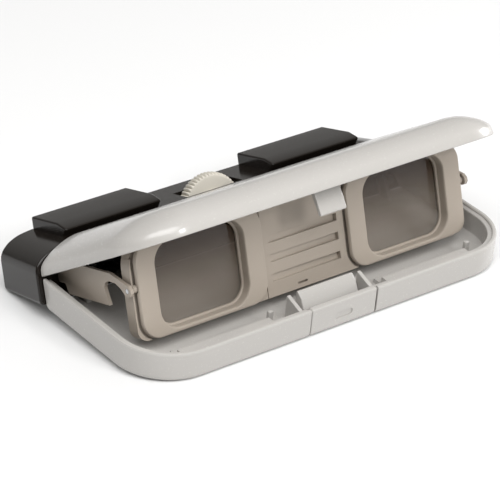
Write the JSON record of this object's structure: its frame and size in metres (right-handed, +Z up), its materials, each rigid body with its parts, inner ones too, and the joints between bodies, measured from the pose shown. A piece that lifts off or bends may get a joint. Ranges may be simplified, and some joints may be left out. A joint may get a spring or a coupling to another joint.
{
  "type": "folding opera glass",
  "caption": "Folding opera glass: black ocular housing with focus wheel, spring-open white lid and tray, and a stand-up panel of two square lenses.",
  "frame": {"origin": "centre of the footprint on the surface it stands on", "axes": "+X along the fold axis, +Y from the objective lenses towards the oculars, +Z up"},
  "size_m": [0.1152, 0.0644, 0.0385],
  "materials": {
    "black_plastic": "gloss, moulded",
    "white_plastic": "gloss, moulded",
    "beige_plastic": "satin, moulded",
    "ivory_plastic": "satin, serrated rim",
    "dark_plastic": "matt",
    "lens": "polished optical plastic",
    "steel": "drawn wire and turned pin",
    "brass": "turned"
  },
  "bodies": {
    "housing": {"housing_shell": "black_plastic", "rear_cover": "black_plastic", "screw_bearing": "brass", "hinge_pin_right": "steel", "hinge_pin_left": "steel", "fold_spring_right": "steel", "fold_spring_left": "steel", "guide_rod_right": "steel", "guide_rod_left": "steel", "cover_screw_1": "steel", "cover_screw_2": "steel", "cover_screw_3": "steel", "cover_screw_4": "steel"},
    "lid": {"lid_shell": "white_plastic", "lid_catch": "white_plastic"},
    "tray": {"tray_shell": "white_plastic", "button_pin": "steel", "button_spring": "steel"},
    "button": {"push_button": "white_plastic"},
    "arms": {"side_arm_right": "beige_plastic", "side_arm_left": "beige_plastic"},
    "panel": {"objective_panel": "beige_plastic", "lens_bezel_right": "beige_plastic", "lens_bezel_left": "beige_plastic", "objective_lens_right": "lens", "objective_lens_left": "lens", "panel_pivot_right": "steel", "panel_pivot_left": "steel"},
    "focus": {"focus_wheel": "ivory_plastic", "focus_screw": "steel"},
    "carriage": {"ocular_carriage": "dark_plastic", "drive_nut": "brass", "ocular_tube_right": "dark_plastic", "ocular_tube_left": "dark_plastic", "ocular_lens_right": "lens", "ocular_lens_left": "lens"}
  },
  "joints": [
    {"name": "lid_fold", "type": "hinge", "parent": "housing", "child": "lid", "pos_m": [0, 0.01166, 0.01116], "axis": [1, 0, 0], "range_deg": [0, 17.2], "stiffness_Nm_per_rad": 0.05, "springref_deg": -34.38},
    {"name": "tray_fold", "type": "hinge", "parent": "housing", "child": "tray", "pos_m": [0, 0.01166, 0.01116], "axis": [1, 0, 0], "range_deg": [-18.82, 0], "stiffness_Nm_per_rad": 0.05, "springref_deg": 34.38},
    {"name": "arm_slide", "type": "slide", "parent": "housing", "child": "arms", "axis": [0, 0.9694, -0.2453], "range_m": [0, 0.00901]},
    {"name": "panel_turn", "type": "hinge", "parent": "arms", "child": "panel", "pos_m": [0, -0.01548, 0.01802], "axis": [1, 0, 0], "range_deg": [-106.1, 0]},
    {"name": "button_press", "type": "hinge", "parent": "tray", "child": "button", "pos_m": [0, -0.0303, 0.00146], "axis": [1, 0, 0], "range_deg": [-4, 0], "stiffness_Nm_per_rad": 0.05, "springref_deg": 5.73},
    {"name": "focus_turn", "type": "hinge", "parent": "housing", "child": "focus", "pos_m": [0, 0.0201, 0.00985], "axis": [0, 0.9694, -0.2453], "range_deg": [-180, 180]},
    {"name": "focus_slide", "type": "slide", "parent": "housing", "child": "carriage", "axis": [0, 0.9694, -0.2453], "range_m": [-0.0012, 0.0012]}
  ],
  "couplings": [
    {"joint": "tray_fold", "follows": "lid_fold", "ratio": -1.093},
    {"joint": "arm_slide", "follows": "lid_fold", "m_per_rad": 0.02998},
    {"joint": "panel_turn", "follows": "lid_fold", "ratio": -6.1628},
    {"joint": "focus_turn", "follows": "focus_slide", "rad_per_m": 2617}
  ]
}
